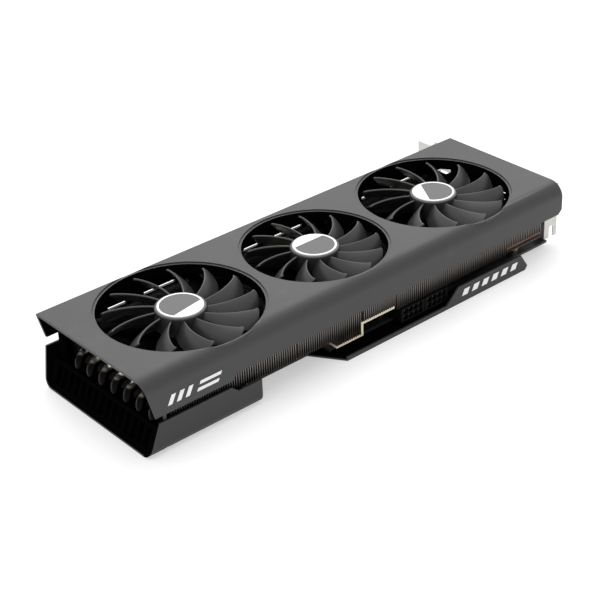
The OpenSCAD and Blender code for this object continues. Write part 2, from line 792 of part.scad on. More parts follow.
module edge_contacts() {
    color("gold") at_origin() for (z = [board_z - contact_t, board_top])
        translate([0, board_high_y + tongue_l - contact_l - 0.4, z]) linear_extrude(contact_t) {
            for (x = [tongue_x + 1:contact_pitch:key_x - 1]) translate([x, 0]) square([contact_w, contact_l]);
            for (x = [key_x + key_w + 0.6:contact_pitch:tongue_end_x - 1])
                translate([x, 0]) square([contact_w, contact_l]);
        }
}

// ---- sockets ----

// a child at each cavity of each power socket
module at_cavities() {
    for (s = [0:socket_n - 1], i = [0:3], j = [0, 1]) let ($deep = j == 0 ? cavity_d : cavity_top_d)
        translate([socket_x + s*socket_step + socket_w/2 + (i - 1.5)*cavity_pitch, socket_y,
                   board_top + socket_h/2 + (j - 0.5)*cavity_pitch]) children();
}

module power_sockets() {
    color("black") at_origin() difference() {
        for (s = [0:socket_n - 1]) translate([socket_x + s*socket_step, socket_y, board_top]) {
            cube([socket_w, socket_front_d, socket_h]);
            cube([socket_w, socket_d, socket_rear_h]);
        }
        at_cavities() translate([-cavity_w/2, -cut, -cavity_w/2]) cube([cavity_w, $deep + cut, cavity_w]);
    }
}

module power_pins() {
    color("gold") at_origin() at_cavities() translate([-0.6, 1.4, -0.6]) cube([1.2, $deep - 1.4, 1.2]);
}

module port_shell(y) {
    difference() {
        block(port_front_x - port_l, port_front_x, y - port_w/2, y + port_w/2, board_top, board_top + port_h);
        block(port_front_x - port_cavity, port_front_x + cut, y - port_w/2 + port_wall, y + port_w/2 - port_wall,
              board_top + port_wall, board_top + port_h - port_wall);
    }
}

module display_sockets() {
    color("silver") at_origin() for (j = [0:3]) if (j != hdmi_index) port_shell(port_ys[j]);
}

module hdmi_socket() {
    color("silver") at_origin() difference() {
        port_shell(port_ys[hdmi_index]);
        for (s = [-1, 1]) translate([port_front_x - port_cavity - cut, port_ys[hdmi_index] + s*port_w/2, board_top])
            rotate([0, 90, 0]) rotate(45) cube([3, 3, 2*port_l], center = true);
    }
}

module port_tongues() {
    mid = board_top + port_h/2;
    color("black") at_origin() for (y = port_ys)
        block(port_front_x - port_cavity, port_front_x - 1.5, y - 5.5, y + 5.5, mid - 0.6, mid + 0.6);
}

// ---- backplate ----

module plate_outline() {
    polygon([[0, tray_bend_r - half_w], [tray_l, tray_bend_r - half_w], [tray_l, notch_y], [slant_notch_x, notch_y],
             [slant_notch_end, strip_y], [tab_end_x - 2, strip_y], [tab_end_x + 12, end_plate_y],
             [card_l - 2, end_plate_y], [card_l - 2, board_plate_y],
             [board_x, board_plate_y], [board_x - 6, half_w], [tray_l, half_w],
             [tray_l, half_w - tray_bend_r], [0, half_w - tray_bend_r]]);
}

// outline of the tray across the card: a flat floor, two bends and two upright walls
module tray_outline(inset) {
    bend = tray_bend_r - inset;
    hull() for (s = [-1, 1]) translate([s*(half_w - tray_bend_r), tray_bend_r]) circle(bend);
    translate([inset - half_w, tray_bend_r]) square([card_w - 2*inset, tray_high_h]);
}

// the tray's length and wall heights as seen from each side, with its slanted tail ends
module tray_bounds() {
    side_plate(-half_w - cut, 0)
        polygon([[0, -cut], [tray_l, -cut], [tray_l, tray_step_h], [tray_step_x + tray_step_l, tray_step_h],
                 [tray_step_x, tray_low_h], [tray_lean*tray_low_h, tray_low_h], [0, 0]]);
    side_plate(-cut, half_w + cut)
        polygon([[0, -cut], [tray_l, -cut], [tray_l, tray_high_h], [far_tray_lean*tray_high_h, tray_high_h], [0, 0]]);
}

module tray() {
    intersection() {
        rotate([90, 0, 90]) linear_extrude(tray_l) difference() {
            tray_outline(0);
            tray_outline(plate_t);
        }
        tray_bounds();
    }
    // slotted end grille, leaning in with the walls
    slot_w = (card_w - 2*tray_bend_r - rib_n*rib_w)/(rib_n + 1);
    grille_start = tray_bend_r - half_w;
    intersection() {
        rotate([90, 0, 90]) linear_extrude(tray_l) tray_outline(plate_t/2);
        difference() {
            side_plate(-half_w, half_w)
                polygon([[grille_x, 0], [grille_x + plate_t, 0], [grille_x + plate_t + tray_lean*grille_h, grille_h],
                         [grille_x + tray_lean*grille_h, grille_h]]);
            for (k = [0:rib_n])
                block(-cut, 20, grille_start + k*(slot_w + rib_w), grille_start + k*(slot_w + rib_w) + slot_w,
                      grille_z, grille_top);
        }
    }
}

module folded_tab() {
    side_plate(strip_y, strip_y + plate_t)
        polygon([[slant_notch_end, 0], [tab_end_x - 2, 0], [tab_end_x, strip_h], [tab_top_end, tab_h],
                 [tab_top_x, tab_h], [tab_x, strip_h], [slant_notch_end, strip_h]]);
}

module backplate() {
    color("dimgray") at_origin() difference() {
        union() {
            linear_extrude(plate_t) plate_outline();
            tray();
            folded_tab();
            intersection() {
                rotate([90, 0, 90]) linear_extrude(tray_l) tray_outline(0.2);
                for (s = [-1, 1]) translate([tail_post_x, s*tail_post_y, 0])
                    cylinder(r = tail_post_r, h = tail_post_z - 0.3);
            }
            for (p = board_screws) translate([p[0], p[1], 0]) cylinder(r = boss_r, h = board_z);
        }
        for (p = board_screws) translate([p[0], p[1], 0]) {
            translate([0, 0, -cut]) cylinder(r = screw_d/2 + screw_hole_gap, h = board_z + 2*cut);
            translate([0, 0, -cut]) cylinder(r = head_r + 0.1, h = counterbore_d + cut);
        }
        for (s = [-1, 1]) translate([tail_post_x, s*tail_post_y, 0]) {
            translate([0, 0, -cut]) cylinder(r = screw_d/2 + screw_hole_gap, h = tail_post_z + cut);
            translate([0, 0, -cut]) cylinder(r = tail_head_r + 0.1, h = tail_head_z + head_t + cut);
        }
        at_springs() translate([0, 0, -cut]) cylinder(r = head_r + 0.6, h = plate_t + 2*cut);
        for (k = [0:vent_n - 1]) translate([vent_x + k*vent_pitch, -vent_l/2, -cut]) {
            cube([vent_w, vent_l, plate_t + 2*cut]);
            for (e = [0, vent_l]) translate([vent_w/2, e, 0]) cylinder(d = vent_w, h = plate_t + 2*cut);
        }
    }
}

module tab_bars() {
    bar_pitch = 9;
    color("gainsboro") at_origin() side_plate(strip_y - mark_t, strip_y)
        for (i = [0:5]) translate([tab_top_x + 3 + i*bar_pitch, 4.6]) slant_bar(5, 4.4);
}

module board_screws() {
    color("silver") at_origin() for (p = board_screws) translate([p[0], p[1], 0.05])
        screw(head_r, counterbore_d - 0.05, screw_d/2, mid_plate_z);
}

module tail_screws() {
    color("silver") at_origin() for (s = [-1, 1]) translate([tail_post_x, s*tail_post_y, tail_head_z])
        screw(tail_head_r, head_t, screw_d/2, tail_post_z + 3.5 - tail_head_z + head_t);
}

module retention_spring() {
    reach = spring_span*sqrt(2);
    color("silver") at_origin() difference() {
        union() {
            translate([gpu_x, gpu_y, plate_t + 0.2]) for (a = [45, 135]) rotate(a)
                translate([-reach, -4, 0]) cube([2*reach, 8, 1]);
            at_springs() translate([0, 0, plate_t + 0.2]) cylinder(r = 4.6, h = 1);
        }
        at_springs() cylinder(r = screw_d/2 + screw_hole_gap, h = 4);
    }
}

module spring_screws() {
    color("silver") at_origin() at_springs() translate([0, 0, 0.3])
        screw(head_r, plate_t - 0.1, screw_d/2, cold_z + 1.4);
}

// ---- bracket ----

bracket_top = bracket_z + bracket_w;
tongue_w = 10.2;
tongue_z = [bracket_z + 4.2, bracket_z + 4.2 + slot_pitch];
notch_z = [bracket_z + 6.4, bracket_z + 6.4 + slot_pitch];
vents = [for (z = [15:5:35]) z];

// one row of vents, as far as a given y
module vent_row(z, last_y, height = 2.6) {
    for (j = [0:6]) if (flange_y + 17 + j*13.5 < last_y)
        translate([flange_y + 7 + j*13.5, z]) square([10, height]);
}

module bracket_outline() {
    full_y = 66;
    difference() {
        union() {
            translate([flange_y, bracket_z]) square([full_y - flange_y, bracket_w]);
            for (z = tongue_z) polygon([[full_y, z - 3], [full_y + 4, z], [y_max, z], [y_max, z + tongue_w],
                                        [full_y + 4, z + tongue_w], [full_y, z + tongue_w + 3]]);
        }
        for (y = port_ys) translate([y - port_w/2 - window_gap, board_top - window_gap])
            square([port_w + 2*window_gap, port_h + 2*window_gap]);
        for (z = vents) vent_row(z, full_y);
    }
}

module io_bracket() {
    color("gainsboro") at_origin() difference() {
        union() {
            translate([card_l, 0, 0]) rotate([90, 0, 90]) linear_extrude(bracket_t) bracket_outline();
            for (z = notch_z) block(card_l, x_max, flange_y, flange_y + bracket_t, z - 6.4, z + 12.4);
            // folded ears that hold the shroud's end posts
            for (s = [-1, 1]) block(end_post_x - 5, card_l + bracket_t/2, s*end_post_y - 5, s*end_post_y + 5,
                                    end_post_z - 1.2, end_post_z);
        }
        for (z = notch_z) translate([card_l + bracket_t + 6, flange_y - cut, z]) {
            rotate([-90, 0, 0]) cylinder(r = notch_r, h = bracket_t + 2*cut);
            translate([-notch_r, 0, -8]) cube([2*notch_r, bracket_t + 2*cut, 8]);
        }
        for (s = [-1, 1]) translate([end_post_x, s*end_post_y, end_post_z - 2])
            cylinder(r = screw_d/2 + screw_hole_gap, h = 3);
    }
}

module shroud_screws() {
    color("silver") at_origin() for (s = [-1, 1])
        translate([end_post_x, s*end_post_y, end_post_z - 1.2 - head_t]) screw(head_r, head_t, screw_d/2, 7);
}

shroud();
side_bars();
fan_rotor(0);  // fan_rotor_tail
fan_rotor(1);  // fan_rotor_middle
fan_rotor(2);  // fan_rotor_bracket
hub_badge(0);  // hub_badge_tail
hub_badge(1);  // hub_badge_middle
hub_badge(2);  // hub_badge_bracket
rotor_magnet(0);  // rotor_magnet_tail
rotor_magnet(1);  // rotor_magnet_middle
rotor_magnet(2);  // rotor_magnet_bracket
fan_shaft(0);  // fan_shaft_tail
fan_shaft(1);  // fan_shaft_middle
fan_shaft(2);  // fan_shaft_bracket
fan_bearing(0);  // fan_bearing_tail
fan_bearing(1);  // fan_bearing_middle
fan_bearing(2);  // fan_bearing_bracket
fan_stator(0);  // fan_stator_tail
fan_stator(1);  // fan_stator_middle
fan_stator(2);  // fan_stator_bracket
fan_frame(0);  // fan_frame_tail
fan_frame(1);  // fan_frame_middle
fan_frame(2);  // fan_frame_bracket
stator_coils();
fan_screws();
tail_fins();
main_fins();
heat_pipes();
cold_plate();
mid_plate();
board();
processor_package();
processor_die();
memory_chips();
chokes();
power_stages();
capacitors();
thermal_pads();
fan_headers();
power_sockets();
power_pins();
display_sockets();
hdmi_socket();
port_tongues();
edge_contacts();
retention_spring();
spring_screws();
backplate();
tab_bars();
board_screws();
tail_screws();
io_bracket();
shroud_screws();
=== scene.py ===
"""Looks of a triple-fan graphics card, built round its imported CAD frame."""

import json
import logging
import math
from collections.abc import Callable, Iterable, Sequence
from dataclasses import dataclass
from enum import Enum

import bmesh
import bpy
from mathutils import Matrix, Vector

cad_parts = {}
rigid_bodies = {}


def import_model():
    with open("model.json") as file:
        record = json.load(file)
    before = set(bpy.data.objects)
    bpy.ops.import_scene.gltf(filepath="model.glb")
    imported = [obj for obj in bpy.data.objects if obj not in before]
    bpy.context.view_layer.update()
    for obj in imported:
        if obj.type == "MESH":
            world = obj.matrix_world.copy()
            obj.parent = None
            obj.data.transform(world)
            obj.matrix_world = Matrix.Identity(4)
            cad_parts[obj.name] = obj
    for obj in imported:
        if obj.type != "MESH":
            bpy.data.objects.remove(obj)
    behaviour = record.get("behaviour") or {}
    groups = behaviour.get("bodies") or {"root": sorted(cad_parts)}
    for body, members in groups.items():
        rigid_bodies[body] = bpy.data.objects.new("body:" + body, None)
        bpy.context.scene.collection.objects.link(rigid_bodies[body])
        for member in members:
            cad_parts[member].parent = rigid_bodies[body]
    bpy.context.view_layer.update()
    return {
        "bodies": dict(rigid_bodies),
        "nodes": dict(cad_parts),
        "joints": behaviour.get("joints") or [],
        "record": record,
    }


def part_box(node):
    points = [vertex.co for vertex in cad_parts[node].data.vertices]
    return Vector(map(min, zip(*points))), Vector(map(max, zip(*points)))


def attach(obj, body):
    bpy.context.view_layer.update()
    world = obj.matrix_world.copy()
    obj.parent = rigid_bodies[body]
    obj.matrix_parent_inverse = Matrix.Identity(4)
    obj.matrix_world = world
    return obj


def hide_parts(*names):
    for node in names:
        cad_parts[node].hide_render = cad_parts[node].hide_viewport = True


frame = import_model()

MM = 0.001
FLAT_DEGREES = 0.6
MERGE_MM = 0.001
LOG = logging.getLogger("card")
Colour = tuple[float, float, float]
Point = tuple[float, float, float]
Zone = tuple[str, Callable[[bmesh.types.BMFace], bool]]


# ---------------------------------------------------------------- shader maths


class Value:
    """A number socket that maths can be written on as plain Python."""

    def __init__(self, sheet: "Sheet", socket: bpy.types.NodeSocket) -> None:
        """Wraps a socket.

        Args:
            sheet: the material's node sheet that the socket is on.
            socket: an output socket that carries a number.
        """
        self.sheet = sheet
        self.socket = socket

    def __add__(self, other: "Value | float") -> "Value":
        """self + other."""
        return self.sheet.math("ADD", self, other)

    __radd__ = __add__

    def __sub__(self, other: "Value | float") -> "Value":
        """self - other."""
        return self.sheet.math("SUBTRACT", self, other)

    def __rsub__(self, other: float) -> "Value":
        """other - self."""
        return self.sheet.math("SUBTRACT", other, self)

    def __mul__(self, other: "Value | float") -> "Value":
        """self times other."""
        return self.sheet.math("MULTIPLY", self, other)

    __rmul__ = __mul__

    def __gt__(self, other: "Value | float") -> "Value":
        """1 where self is above other, else 0."""
        return self.sheet.math("GREATER_THAN", self, other)

    def __abs__(self) -> "Value":
        """The size of self."""
        return self.sheet.math("ABSOLUTE", self)

    def sine(self) -> "Value":
        """The sine of self, in radians."""
        return self.sheet.math("SINE", self)

    def fraction(self) -> "Value":
        """What is left of self after its whole part."""
        return self.sheet.math("FRACT", self)

    def ramp(self, low: float, high: float) -> "Value":
        """Runs from 0 at low to 1 at high, smoothly.

        Args:
            low: the value that gives 0.
            high: the value that gives 1.

        Returns:
            The eased share between the two.
        """
        return self.sheet.number(
            "ShaderNodeMapRange",
            {"interpolation_type": "SMOOTHSTEP"},
            {"Value": self, "From Min": low, "From Max": high},
        )


class Sheet:
    """One material's node tree, with the few ways that this file adds to it."""

    def __init__(self, name: str) -> None:
        """Starts a material with one Principled surface.

        Args:
            name: the material's name.
        """
        self.material = bpy.data.materials.new(name)
        self.material.use_nodes = True
        self.tree = self.material.node_tree
        self.tree.nodes.clear()
        self.surface = self.node("ShaderNodeBsdfPrincipled")
        self.node("ShaderNodeOutputMaterial", values={"Surface": self.surface.outputs[0]})
        self._place: bpy.types.NodeSocket | None = None

    def node(
        self,
        kind: str,
        settings: dict[str, object] | None = None,
        values: dict[str | int, object] | None = None,
    ) -> bpy.types.Node:
        """Adds any node.

        Args:
            kind: the node's type name.
            settings: its own properties, set first.
            values: numbers, colours or sockets for its inputs.

        Returns:
            The new node.
        """
        made = self.tree.nodes.new(kind)
        for key, value in (settings or {}).items():
            setattr(made, key, value)
        for key, value in (values or {}).items():
            self._feed(made.inputs[key], value)
        return made

    def _feed(self, socket: bpy.types.NodeSocket, value: object) -> None:
        """Links a socket or sets a constant on an input.

        Args:
            socket: the input to feed.
            value: a Value, a socket, a number or a colour.
        """
        if isinstance(value, Value):
            self.tree.links.new(value.socket, socket)
        elif isinstance(value, bpy.types.NodeSocket):
            self.tree.links.new(value, socket)
        elif socket.type == "RGBA" and len(value) == 3:
            socket.default_value = (*value, 1.0)
        else:
            socket.default_value = value

    def number(
        self,
        kind: str,
        settings: dict[str, object] | None = None,
        values: dict[str | int, object] | None = None,
        out: str | int = 0,
    ) -> Value:
        """Adds a node and wraps one of its outputs.

        Args:
            kind: the node's type name.
            settings: its own properties.
            values: what feeds its inputs.
            out: the output's name or place.

        Returns:
            The output as a Value.
        """
        return Value(self, self.node(kind, settings, values).outputs[out])

    def math(self, operation: str, *terms: "Value | float") -> Value:
        """Adds one Math node.

        Args:
            operation: the Math node's operation.
            terms: its inputs, in order.

        Returns:
            The result as a Value.
        """
        return self.number("ShaderNodeMath", {"operation": operation}, dict(enumerate(terms)))

    def place(self) -> bpy.types.NodeSocket:
        """The point's own place on the object, in metres."""
        if self._place is None:
            self._place = self.node("ShaderNodeTexCoord").outputs["Object"]
        return self._place

    def axes(self) -> tuple[Value, Value, Value]:
        """The place split into x, y and z."""
        split = self.node("ShaderNodeSeparateXYZ", values={0: self.place()})
        return tuple(Value(self, split.outputs[i]) for i in range(3))

    def stretched(self, scale: Point) -> bpy.types.NodeSocket:
        """The place scaled along each axis.

        Args:
            scale: the factor along x, y and z.

        Returns:
            A vector socket.
        """
        return self.node("ShaderNodeMapping", values={"Vector": self.place(), "Scale": scale}).outputs[0]

    def noise(self, size_mm: float, detail: float = 2.0, along: Point = (1, 1, 1)) -> Value:
        """Soft noise of a real size.

        Args:
            size_mm: how far apart its lumps are, in millimetres.
            detail: how many finer layers it has.
            along: how much finer the noise is along each axis.

        Returns:
            The noise, from about 0 to 1.
        """
        vector = self.stretched(along) if along != (1, 1, 1) else self.place()
        return self.number(
            "ShaderNodeTexNoise", {}, {"Vector": vector, "Scale": 1.0 / (size_mm * MM), "Detail": detail}
        )

    def blend(self, share: "Value | float", low: object, high: object) -> bpy.types.NodeSocket:
        """Mixes two colours.

        Args:
            share: 0 for low, 1 for high.
            low: the first colour or colour socket.
            high: the second.

        Returns:
            A colour socket.
        """
        mix = self.node("ShaderNodeMix", {"data_type": "RGBA"})
        self._feed(mix.inputs[0], share)
        self._feed(mix.inputs[6], low)
        self._feed(mix.inputs[7], high)
        return mix.outputs[2]

    def bump(self, height: Value, depth_mm: float, strength: float = 1.0) -> None:
        """Raises the surface by a height.

        Args:
            height: from 0 to 1.
            depth_mm: how far 1 stands above 0.
            strength: the bump's share.
        """
        node = self.node(
            "ShaderNodeBump", {}, {"Height": height, "Distance": depth_mm * MM, "Strength": strength}
        )
        self._feed(self.surface.inputs["Normal"], node.outputs[0])

    def set(self, **sockets: object) -> None:
        """Feeds the surface's sockets, named with _ for each space.

        Args:
            sockets: a value, colour or socket for each input.
        """
        for key, value in sockets.items():
            self._feed(self.surface.inputs[key.replace("_", " ")], value)


def shade(colour: Colour, factor: float) -> Colour:
    """A colour made lighter or darker.

    Args:
        colour: the colour.
        factor: what each channel is multiplied by.

    Returns:
        The new colour.
    """
    return tuple(min(1.0, channel * factor) for channel in colour)


# ---------------------------------------------------------------- finishes


@dataclass(frozen=True)
class Finish:
    """A surface finish that can make its own material."""

    tone: Colour
    rough: float

    def make(self, name: str) -> bpy.types.Material:
        """Makes the material.

        Args:
            name: the material's name.

        Returns:
            The material.
        """
        sheet = Sheet(name)
        self.dress(sheet)
        return sheet.material

    def dress(self, sheet: Sheet) -> None:
        """Adds the finish's nodes to a sheet."""
        raise NotImplementedError


@dataclass(frozen=True)
class PowderCoat(Finish):
    """Fine sprayed coat on sheet metal: tiny grain, slow drifts in tone and sheen."""

    grain_mm: float = 0.35
    depth_mm: float = 0.02
    gloss: float = 0.5

    def dress(self, sheet: Sheet) -> None:
        """Adds grain, drift and worn patches."""
        grain = sheet.noise(self.grain_mm, 2.0)
        drift = sheet.noise(45.0, 3.0)
        # Random worn patches on the coat: a little lighter and less rough.
        wear_and_highlight = sheet.noise(9.0, 4.0).ramp(0.56, 0.8)
        shift = (drift - 0.5) * 0.5 + (grain - 0.5) * 0.5 + wear_and_highlight * 0.12 + 0.5
        sheet.set(
            Base_Color=sheet.blend(shift, shade(self.tone, 0.78), shade(self.tone, 1.22)),
            Roughness=(grain - 0.5) * 0.14 + (drift - 0.5) * 0.1 + (self.rough) - wear_and_highlight * 0.05,
            Specular_IOR_Level=self.gloss,
        )
        sheet.bump(grain, self.depth_mm, 0.55)


@dataclass(frozen=True)
class MouldedPlastic(Finish):
    """Moulded resin with a faint spark-eroded texture and flow marks."""

    grain_mm: float = 0.25
    depth_mm: float = 0.01
    gloss: float = 0.5

    def dress(self, sheet: Sheet) -> None:
        """Adds texture and flow marks."""
        grain = sheet.noise(self.grain_mm, 3.0)
        flow = sheet.noise(14.0, 2.0, (1.0, 1.0, 2.5))
        sheet.set(
            Base_Color=sheet.blend(
                (flow - 0.5) * 0.7 + (grain - 0.5) * 0.3 + 0.5, shade(self.tone, 0.75), shade(self.tone, 1.25)
            ),
            Roughness=(flow - 0.5) * 0.14 + (grain - 0.5) * 0.08 + self.rough,
            Specular_IOR_Level=self.gloss,
        )
        sheet.bump(grain, self.depth_mm, 0.5)


@dataclass(frozen=True)
class BrushedSheet(Finish):
    """Bare or plated sheet with fine lines along one axis, and a few dull spots."""

    lines: Point = (0.05, 1.0, 1.0)
    line_mm: float = 0.2

    def dress(self, sheet: Sheet) -> None:
        """Adds brush lines and dull spots."""
        lines = sheet.noise(self.line_mm, 2.0, self.lines)
        dull = sheet.noise(7.0, 4.0).ramp(0.5, 0.85)
        sheet.set(
            Base_Color=sheet.blend(
                (lines - 0.5) * 0.9 + 0.5 - dull * 0.25, shade(self.tone, 0.72), shade(self.tone, 1.2)
            ),
            Roughness=(lines - 0.5) * 0.2 + self.rough + dull * 0.14,
            Metallic=1.0,
        )
        sheet.bump(lines, 0.006, 0.4)


@dataclass(frozen=True)
class SpunMetal(Finish):
    """Turned metal, with fine dents and slight cloudiness."""

    dent_mm: float = 0.16

    def dress(self, sheet: Sheet) -> None:
        """Adds cloud and fine dents."""
        cloud = sheet.noise(2.2, 3.0)
        fine = sheet.noise(self.dent_mm, 2.0, (1.0, 1.0, 3.0))
        sheet.set(
            Base_Color=sheet.blend(
                (cloud - 0.5) * 0.6 + (fine - 0.5) * 0.4 + 0.5, shade(self.tone, 0.85), shade(self.tone, 1.12)
            ),
            Roughness=(fine - 0.5) * 0.16 + (cloud - 0.5) * 0.1 + self.rough,
            Metallic=1.0,
        )
        sheet.bump(fine, 0.004, 0.35)


@dataclass(frozen=True)
class FinSheet(Finish):
    """Thin dark fin sheet: rolled lines, a warm foot, and a pale painted highlight on the top corner along
    the open side.
    """

    warm: Colour = (0.10, 0.06, 0.04)
    # pale: the colour of the painted highlight on the open side's top.
    pale: Colour = (0.32, 0.30, 0.28)
    foot_mm: tuple[float, float] = (10.0, 22.0)
    painted_top_highlight_mm: tuple[float, float] = (15.0, 27.0)
    open_side_mm: tuple[float, float] = (-62.0, -58.0)

    def dress(self, sheet: Sheet) -> None:
        """Adds rolled lines, the pale painted highlight on top and the warm foot."""
        _, y, z = sheet.axes()
        rolled = sheet.noise(0.6, 2.0, (1.0, 0.08, 1.0))
        patch = sheet.noise(11.0, 3.0)
        open_side = 1.0 - y.ramp(self.open_side_mm[0] * MM, self.open_side_mm[1] * MM)
        low = (1.0 - z.ramp(self.foot_mm[0] * MM, self.foot_mm[1] * MM)) * open_side
        body = sheet.blend((rolled - 0.5) * 0.8 + 0.5, shade(self.tone, 0.7), shade(self.tone, 1.25))
        # Painted highlight: the open side's upper part is blended towards the pale colour.
        painted_top_highlight = z.ramp(self.painted_top_highlight_mm[0] * MM, self.painted_top_highlight_mm[1] * MM) * open_side
        topped = sheet.blend(painted_top_highlight, body, self.pale)
        sheet.set(
            Base_Color=sheet.blend(low * 0.7 * patch.ramp(0.25, 0.75), topped, self.warm),
            Roughness=(rolled - 0.5) * 0.2 + self.rough,
            Metallic=0.85,
        )
        sheet.bump(rolled, 0.01, 0.4)


@dataclass(frozen=True)
class Copper(Finish):
    """Copper with light tarnish and draw lines along its length."""

    tarnish: Colour = (0.22, 0.11, 0.06)

    def dress(self, sheet: Sheet) -> None:
        """Adds tarnish and draw lines."""
        stain = sheet.noise(6.0, 4.0).ramp(0.42, 0.74)
        draw = sheet.noise(0.4, 2.0, (0.06, 1.0, 1.0))
        worn = sheet.blend(stain * 0.7, shade(self.tone, 1.05), self.tarnish)
        sheet.set(
            Base_Color=self.with_painted_light(sheet, worn),
            Roughness=(draw - 0.5) * 0.14 + self.rough + stain * 0.16,
            Metallic=1.0,
        )
        sheet.bump(draw, 0.006, 0.4)

    def with_painted_light(self, sheet: Sheet, colour: bpy.types.NodeSocket) -> bpy.types.NodeSocket:
        """The colour as it is, or with painted shade and a painted highlight from a finish that adds them.

        Args:
            sheet: the sheet that the colour is on.
            colour: the colour so far.

        Returns:
            The colour to use.
        """
        return colour


@dataclass(frozen=True)
class PaintedShadePipe(Copper):
    """Copper pipe with painted shade underneath and at the tail bends, and a pale painted highlight on the
    bends' tops.
    """

    painted_shade: Colour = (0.006, 0.005, 0.005)
    wear_and_highlight: Colour = (0.62, 0.56, 0.50)
    tail_mm: tuple[float, float] = (-150.0, -140.0)
    bend_top_mm: tuple[float, float] = (25.8, 29.0)
    underside_mm: tuple[float, float] = (14.6, 16.4)

    def with_painted_light(self, sheet: Sheet, colour: bpy.types.NodeSocket) -> bpy.types.NodeSocket:
        """Paints shade on the tail bends below a pale painted highlight on their tops, and on every run's
        underside.

        Args:
            sheet: the sheet that the colour is on.
            colour: the copper's colour.

        Returns:
            The colour with the blackened end.
        """
        x, _, z = sheet.axes()
        tail = 1.0 - x.ramp(self.tail_mm[0] * MM, self.tail_mm[1] * MM)
        high = z.ramp(self.bend_top_mm[0] * MM, self.bend_top_mm[1] * MM)
        above = z.ramp(self.underside_mm[0] * MM, self.underside_mm[1] * MM)
        # Painted shade on the underside of every run.
        shaded = sheet.blend(above, self.painted_shade, colour)
        # Tail bends: painted shade below a pale painted highlight at their tops.
        return sheet.blend(tail, shaded, sheet.blend(high, self.painted_shade, self.wear_and_highlight))


@dataclass(frozen=True)
class SolderMask(Finish):
    """Board laminate: fine glass weave under the mask, faint tracks, small vias."""

    track: Colour = (0.04, 0.045, 0.045)
    via: Colour = (0.09, 0.08, 0.05)

    def dress(self, sheet: Sheet) -> None:
        """Adds weave, tracks and vias."""
        x, y, _ = sheet.axes()
        weave = (x * (2 * math.pi / (0.9 * MM))).sine() * (y * (2 * math.pi / (0.9 * MM))).sine()
        bend = sheet.noise(16.0, 0.0)
        run = abs(((x + y * 0.5) * (1.0 / (1.6 * MM)) + bend * 5.0).fraction() - 0.5)
        tracks = (run > 0.36) * (sheet.noise(22.0, 1.0) > 0.5)
        from_via = sheet.number(
            "ShaderNodeTexVoronoi", {"feature": "F1"}, {"Vector": sheet.place(), "Scale": 1.0 / (4.0 * MM)}
        )
        dot = 1.0 - from_via.ramp(0.1, 0.14)
        sheet.set(
            Base_Color=sheet.blend(dot * 0.8, sheet.blend(tracks * 0.8, self.tone, self.track), self.via),
            Roughness=weave * 0.03 + self.rough + tracks * 0.06,
        )
        sheet.bump(tracks * 0.6 + weave * 0.12 + dot * 0.4, 0.03, 0.6)


@dataclass(frozen=True)
class Ferrite(Finish):
    """Pressed or moulded block: pores, and a paler rubbed bloom."""

    pore_mm: float = 0.5
    metal: float = 0.0

    def dress(self, sheet: Sheet) -> None:
        """Adds pores and bloom."""
        pores = sheet.noise(self.pore_mm, 4.0)
        bloom = sheet.noise(4.0, 3.0)
        sheet.set(
            Base_Color=sheet.blend(
                (pores - 0.5) * 0.8 + (bloom - 0.5) * 0.5 + 0.5, shade(self.tone, 0.65), shade(self.tone, 1.4)
            ),
            Roughness=(pores - 0.5) * 0.2 + self.rough,
            Metallic=self.metal,
        )
        sheet.bump(pores, 0.03, 0.5)


@dataclass(frozen=True)
class PrintedMark(Finish):
    """Screen-printed ink: slightly uneven cover over the coat's grain."""

    def dress(self, sheet: Sheet) -> None:
        """Adds uneven cover and grain."""
        grain = sheet.noise(0.3, 2.0)
        cover = sheet.noise(1.6, 3.0).ramp(0.2, 0.5)
        sheet.set(
            Base_Color=sheet.blend(cover * 0.4 + 0.6, shade(self.tone, 0.72), self.tone),
            Roughness=(grain - 0.5) * 0.15 + self.rough,
        )
        sheet.bump(grain, 0.012, 0.4)


